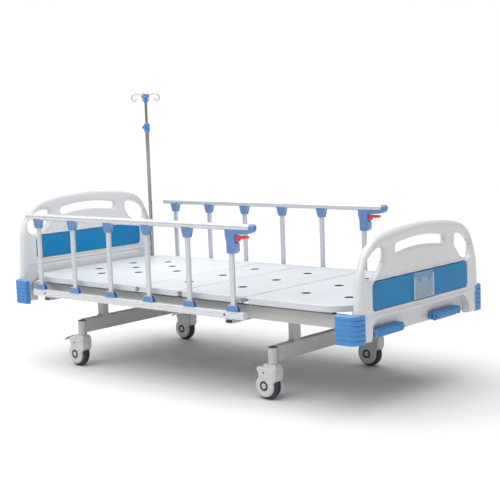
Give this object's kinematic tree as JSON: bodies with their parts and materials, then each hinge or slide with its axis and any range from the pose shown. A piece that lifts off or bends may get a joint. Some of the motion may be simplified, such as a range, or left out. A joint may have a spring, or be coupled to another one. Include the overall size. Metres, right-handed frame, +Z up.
{
  "type": "adjustable hospital bed",
  "caption": "Manual adjustable hospital bed with hinged deck panels, folding guard rails, moulded end boards, stowed cranks, brake casters and a telescopic drip pole.",
  "frame": {"origin": "floor centre below the bed, midway between the end boards and between the guard rails", "axes": "+X towards the foot end (the crank side), +Y towards the far guard rail, +Z up"},
  "size_m": [2.15, 1.001, 1.3606],
  "materials": {
    "frame_paint": "light grey powder coat",
    "deck_paint": "cool white powder coat",
    "board_white": "glossy moulded white",
    "insert_blue": "satin blue sheet",
    "bumper_blue": "moulded mid blue",
    "fitting_blue": "moulded light blue",
    "crank_blue": "moulded deep blue over steel",
    "latch_red": "moulded red",
    "rail_silver": "satin anodised",
    "pole_steel": "polished stainless",
    "zinc": "zinc plated",
    "hood_grey": "moulded warm grey",
    "tyre_dark": "dark grey rubber",
    "clear_plastic": "clear acrylic"
  },
  "bodies": {
    "root": {"bed_frame": "frame_paint", "head_leg_frame": "frame_paint", "foot_leg_frame": "frame_paint", "headboard": "board_white", "headboard_insert": "insert_blue", "footboard": "board_white", "footboard_insert": "insert_blue", "card_holder": "clear_plastic", "seat_panel": "deck_paint", "near_lower_rail": "rail_silver", "far_lower_rail": "rail_silver", "head_near_bumper": "bumper_blue", "head_far_bumper": "bumper_blue", "foot_near_bumper": "bumper_blue", "foot_far_bumper": "bumper_blue"},
    "back_section": {"back_panel": "deck_paint"},
    "thigh_section": {"thigh_panel": "deck_paint"},
    "leg_section": {"leg_panel": "deck_paint"},
    "back_lever": {"back_lift_lever": "frame_paint"},
    "knee_lever": {"knee_lift_lever": "frame_paint"},
    "back_push": {"back_push_tube": "zinc"},
    "knee_push": {"knee_push_tube": "zinc"},
    "back_crank": {"back_crank_shaft": "crank_blue"},
    "back_crank_grip": {"back_crank_grip": "crank_blue"},
    "knee_crank": {"knee_crank_shaft": "crank_blue"},
    "knee_crank_grip": {"knee_crank_grip": "crank_blue"},
    "near_post_1": {"near_post_1": "rail_silver"},
    "near_post_2": {"near_post_2": "rail_silver"},
    "near_post_3": {"near_post_3": "rail_silver"},
    "near_post_4": {"near_post_4": "rail_silver"},
    "near_post_5": {"near_post_5": "rail_silver"},
    "near_post_6": {"near_post_6": "rail_silver"},
    "near_rail": {"near_top_rail": "rail_silver", "near_latch_housing": "fitting_blue"},
    "near_latch": {"near_latch_lever": "latch_red"},
    "far_post_1": {"far_post_1": "rail_silver"},
    "far_post_2": {"far_post_2": "rail_silver"},
    "far_post_3": {"far_post_3": "rail_silver"},
    "far_post_4": {"far_post_4": "rail_silver"},
    "far_post_5": {"far_post_5": "rail_silver"},
    "far_post_6": {"far_post_6": "rail_silver"},
    "far_rail": {"far_top_rail": "rail_silver", "far_latch_housing": "fitting_blue"},
    "far_latch": {"far_latch_lever": "latch_red"},
    "head_near_caster": {"head_near_caster_hood": "hood_grey"},
    "head_near_caster_wheel": {"head_near_caster_wheel": "tyre_dark"},
    "head_near_caster_pedal": {"head_near_caster_pedal": "zinc"},
    "head_far_caster": {"head_far_caster_hood": "hood_grey"},
    "head_far_caster_wheel": {"head_far_caster_wheel": "tyre_dark"},
    "head_far_caster_pedal": {"head_far_caster_pedal": "zinc"},
    "foot_near_caster": {"foot_near_caster_hood": "hood_grey"},
    "foot_near_caster_wheel": {"foot_near_caster_wheel": "tyre_dark"},
    "foot_near_caster_pedal": {"foot_near_caster_pedal": "zinc"},
    "foot_far_caster": {"foot_far_caster_hood": "hood_grey"},
    "foot_far_caster_wheel": {"foot_far_caster_wheel": "tyre_dark"},
    "foot_far_caster_pedal": {"foot_far_caster_pedal": "zinc"},
    "pole": {"pole_lower_tube": "pole_steel"},
    "pole_top": {"pole_upper_tube": "pole_steel"},
    "pole_clamp": {"pole_collar": "fitting_blue"}
  },
  "joints": [
    {"name": "back_raise", "type": "hinge", "parent": "root", "child": "back_section", "pos_m": [-0.196, 0, 0.447], "axis": [0, 1, 0], "range_deg": [0, 75]},
    {"name": "knee_raise", "type": "hinge", "parent": "root", "child": "thigh_section", "pos_m": [0.08, 0, 0.447], "axis": [0, -1, 0], "range_deg": [0, 40]},
    {"name": "leg_fold", "type": "hinge", "parent": "thigh_section", "child": "leg_section", "pos_m": [0.465, 0, 0.447], "axis": [0, 1, 0], "range_deg": [0, 66]},
    {"name": "back_lever_turn", "type": "hinge", "parent": "root", "child": "back_lever", "pos_m": [-0.196, 0, 0.392], "axis": [0, 1, 0], "range_deg": [0, 68]},
    {"name": "knee_lever_turn", "type": "hinge", "parent": "root", "child": "knee_lever", "pos_m": [0.08, 0, 0.392], "axis": [0, -1, 0], "range_deg": [0, 38]},
    {"name": "back_push_slide", "type": "slide", "parent": "root", "child": "back_push", "axis": [-1, 0, 0], "range_m": [0, 0.075]},
    {"name": "knee_push_slide", "type": "slide", "parent": "root", "child": "knee_push", "axis": [1, 0, 0], "range_m": [0, 0.038]},
    {"name": "back_crank_turn", "type": "hinge", "parent": "root", "child": "back_crank", "pos_m": [1.049, -0.158, 0.336], "axis": [1, 0, 0], "range_deg": [0, 120]},
    {"name": "back_crank_unfold", "type": "hinge", "parent": "back_crank", "child": "back_crank_grip", "pos_m": [1.066, -0.351, 0.336], "axis": [0, 0, -1], "range_deg": [0, 90]},
    {"name": "knee_crank_turn", "type": "hinge", "parent": "root", "child": "knee_crank", "pos_m": [1.049, 0.097, 0.336], "axis": [-1, 0, 0], "range_deg": [0, 120]},
    {"name": "knee_crank_unfold", "type": "hinge", "parent": "knee_crank", "child": "knee_crank_grip", "pos_m": [1.066, 0.29, 0.336], "axis": [0, 0, 1], "range_deg": [0, 90]},
    {"name": "near_rail_fold", "type": "hinge", "parent": "root", "child": "near_post_6", "pos_m": [0.43, -0.485, 0.406], "axis": [0, 1, 0], "range_deg": [0, 80]},
    {"name": "near_rail_level", "type": "hinge", "parent": "near_post_6", "child": "near_rail", "pos_m": [0.43, -0.485, 0.722], "axis": [0, 1, 0], "range_deg": [-80, 0]},
    {"name": "near_post_1_fold", "type": "hinge", "parent": "root", "child": "near_post_1", "pos_m": [-0.858, -0.485, 0.406], "axis": [0, 1, 0], "range_deg": [0, 80]},
    {"name": "near_post_2_fold", "type": "hinge", "parent": "root", "child": "near_post_2", "pos_m": [-0.6004, -0.485, 0.406], "axis": [0, 1, 0], "range_deg": [0, 80]},
    {"name": "near_post_3_fold", "type": "hinge", "parent": "root", "child": "near_post_3", "pos_m": [-0.3428, -0.485, 0.406], "axis": [0, 1, 0], "range_deg": [0, 80]},
    {"name": "near_post_4_fold", "type": "hinge", "parent": "root", "child": "near_post_4", "pos_m": [-0.0852, -0.485, 0.406], "axis": [0, 1, 0], "range_deg": [0, 80]},
    {"name": "near_post_5_fold", "type": "hinge", "parent": "root", "child": "near_post_5", "pos_m": [0.1724, -0.485, 0.406], "axis": [0, 1, 0], "range_deg": [0, 80]},
    {"name": "near_latch_squeeze", "type": "hinge", "parent": "near_rail", "child": "near_latch", "pos_m": [0.464, -0.485, 0.7165], "axis": [0, -1, 0], "range_deg": [0, 4], "stiffness_Nm_per_rad": 0.6, "springref_deg": -11.46},
    {"name": "far_rail_fold", "type": "hinge", "parent": "root", "child": "far_post_6", "pos_m": [0.43, 0.485, 0.406], "axis": [0, 1, 0], "range_deg": [0, 80]},
    {"name": "far_rail_level", "type": "hinge", "parent": "far_post_6", "child": "far_rail", "pos_m": [0.43, 0.485, 0.722], "axis": [0, 1, 0], "range_deg": [-80, 0]},
    {"name": "far_post_1_fold", "type": "hinge", "parent": "root", "child": "far_post_1", "pos_m": [-0.858, 0.485, 0.406], "axis": [0, 1, 0], "range_deg": [0, 80]},
    {"name": "far_post_2_fold", "type": "hinge", "parent": "root", "child": "far_post_2", "pos_m": [-0.6004, 0.485, 0.406], "axis": [0, 1, 0], "range_deg": [0, 80]},
    {"name": "far_post_3_fold", "type": "hinge", "parent": "root", "child": "far_post_3", "pos_m": [-0.3428, 0.485, 0.406], "axis": [0, 1, 0], "range_deg": [0, 80]},
    {"name": "far_post_4_fold", "type": "hinge", "parent": "root", "child": "far_post_4", "pos_m": [-0.0852, 0.485, 0.406], "axis": [0, 1, 0], "range_deg": [0, 80]},
    {"name": "far_post_5_fold", "type": "hinge", "parent": "root", "child": "far_post_5", "pos_m": [0.1724, 0.485, 0.406], "axis": [0, 1, 0], "range_deg": [0, 80]},
    {"name": "far_latch_squeeze", "type": "hinge", "parent": "far_rail", "child": "far_latch", "pos_m": [0.464, 0.485, 0.7165], "axis": [0, -1, 0], "range_deg": [0, 4], "stiffness_Nm_per_rad": 0.6, "springref_deg": -11.46},
    {"name": "head_near_caster_swivel", "type": "hinge", "parent": "root", "child": "head_near_caster", "pos_m": [-0.687, -0.382, 0.19], "axis": [0, 0, 1], "continuous": true},
    {"name": "head_near_caster_roll", "type": "hinge", "parent": "head_near_caster", "child": "head_near_caster_wheel", "pos_m": [-0.72, -0.382, 0.062], "axis": [0, 1, 0], "continuous": true},
    {"name": "head_near_caster_brake", "type": "hinge", "parent": "head_near_caster", "child": "head_near_caster_pedal", "pos_m": [-0.735, -0.382, 0.1515], "axis": [0, -1, 0], "range_deg": [0, 12]},
    {"name": "head_far_caster_swivel", "type": "hinge", "parent": "root", "child": "head_far_caster", "pos_m": [-0.687, 0.382, 0.19], "axis": [0, 0, 1], "continuous": true},
    {"name": "head_far_caster_roll", "type": "hinge", "parent": "head_far_caster", "child": "head_far_caster_wheel", "pos_m": [-0.72, 0.382, 0.062], "axis": [0, 1, 0], "continuous": true},
    {"name": "head_far_caster_brake", "type": "hinge", "parent": "head_far_caster", "child": "head_far_caster_pedal", "pos_m": [-0.735, 0.382, 0.1515], "axis": [0, -1, 0], "range_deg": [0, 12]},
    {"name": "foot_near_caster_swivel", "type": "hinge", "parent": "root", "child": "foot_near_caster", "pos_m": [0.5545, -0.382, 0.19], "axis": [0, 0, 1], "continuous": true},
    {"name": "foot_near_caster_roll", "type": "hinge", "parent": "foot_near_caster", "child": "foot_near_caster_wheel", "pos_m": [0.5215, -0.382, 0.062], "axis": [0, 1, 0], "continuous": true},
    {"name": "foot_near_caster_brake", "type": "hinge", "parent": "foot_near_caster", "child": "foot_near_caster_pedal", "pos_m": [0.5065, -0.382, 0.1515], "axis": [0, -1, 0], "range_deg": [0, 12]},
    {"name": "foot_far_caster_swivel", "type": "hinge", "parent": "root", "child": "foot_far_caster", "pos_m": [0.5545, 0.382, 0.19], "axis": [0, 0, 1], "continuous": true},
    {"name": "foot_far_caster_roll", "type": "hinge", "parent": "foot_far_caster", "child": "foot_far_caster_wheel", "pos_m": [0.5215, 0.382, 0.062], "axis": [0, 1, 0], "continuous": true},
    {"name": "foot_far_caster_brake", "type": "hinge", "parent": "foot_far_caster", "child": "foot_far_caster_pedal", "pos_m": [0.5065, 0.382, 0.1515], "axis": [0, -1, 0], "range_deg": [0, 12]},
    {"name": "pole_lift", "type": "slide", "parent": "root", "child": "pole", "axis": [0, 0, 1], "range_m": [0, 0.065]},
    {"name": "pole_extend", "type": "slide", "parent": "pole", "child": "pole_top", "axis": [0, 0, 1], "range_m": [-0.1, 0.3]},
    {"name": "pole_clamp_turn", "type": "hinge", "parent": "pole", "child": "pole_clamp", "pos_m": [-0.985, 0.412, 1.17], "axis": [0, 0, 1], "range_deg": [0, 90]}
  ],
  "couplings": [
    {"joint": "leg_fold", "follows": "knee_raise", "ratio": 1.645},
    {"joint": "back_lever_turn", "follows": "back_raise", "ratio": 0.896},
    {"joint": "knee_lever_turn", "follows": "knee_raise", "ratio": 0.926},
    {"joint": "back_push_slide", "follows": "back_raise", "m_per_rad": 0.05684},
    {"joint": "knee_push_slide", "follows": "knee_raise", "m_per_rad": 0.05365},
    {"joint": "near_rail_level", "follows": "near_rail_fold", "ratio": -1},
    {"joint": "near_post_1_fold", "follows": "near_rail_fold", "ratio": 1},
    {"joint": "near_post_2_fold", "follows": "near_rail_fold", "ratio": 1},
    {"joint": "near_post_3_fold", "follows": "near_rail_fold", "ratio": 1},
    {"joint": "near_post_4_fold", "follows": "near_rail_fold", "ratio": 1},
    {"joint": "near_post_5_fold", "follows": "near_rail_fold", "ratio": 1},
    {"joint": "far_rail_level", "follows": "far_rail_fold", "ratio": -1},
    {"joint": "far_post_1_fold", "follows": "far_rail_fold", "ratio": 1},
    {"joint": "far_post_2_fold", "follows": "far_rail_fold", "ratio": 1},
    {"joint": "far_post_3_fold", "follows": "far_rail_fold", "ratio": 1},
    {"joint": "far_post_4_fold", "follows": "far_rail_fold", "ratio": 1},
    {"joint": "far_post_5_fold", "follows": "far_rail_fold", "ratio": 1}
  ]
}
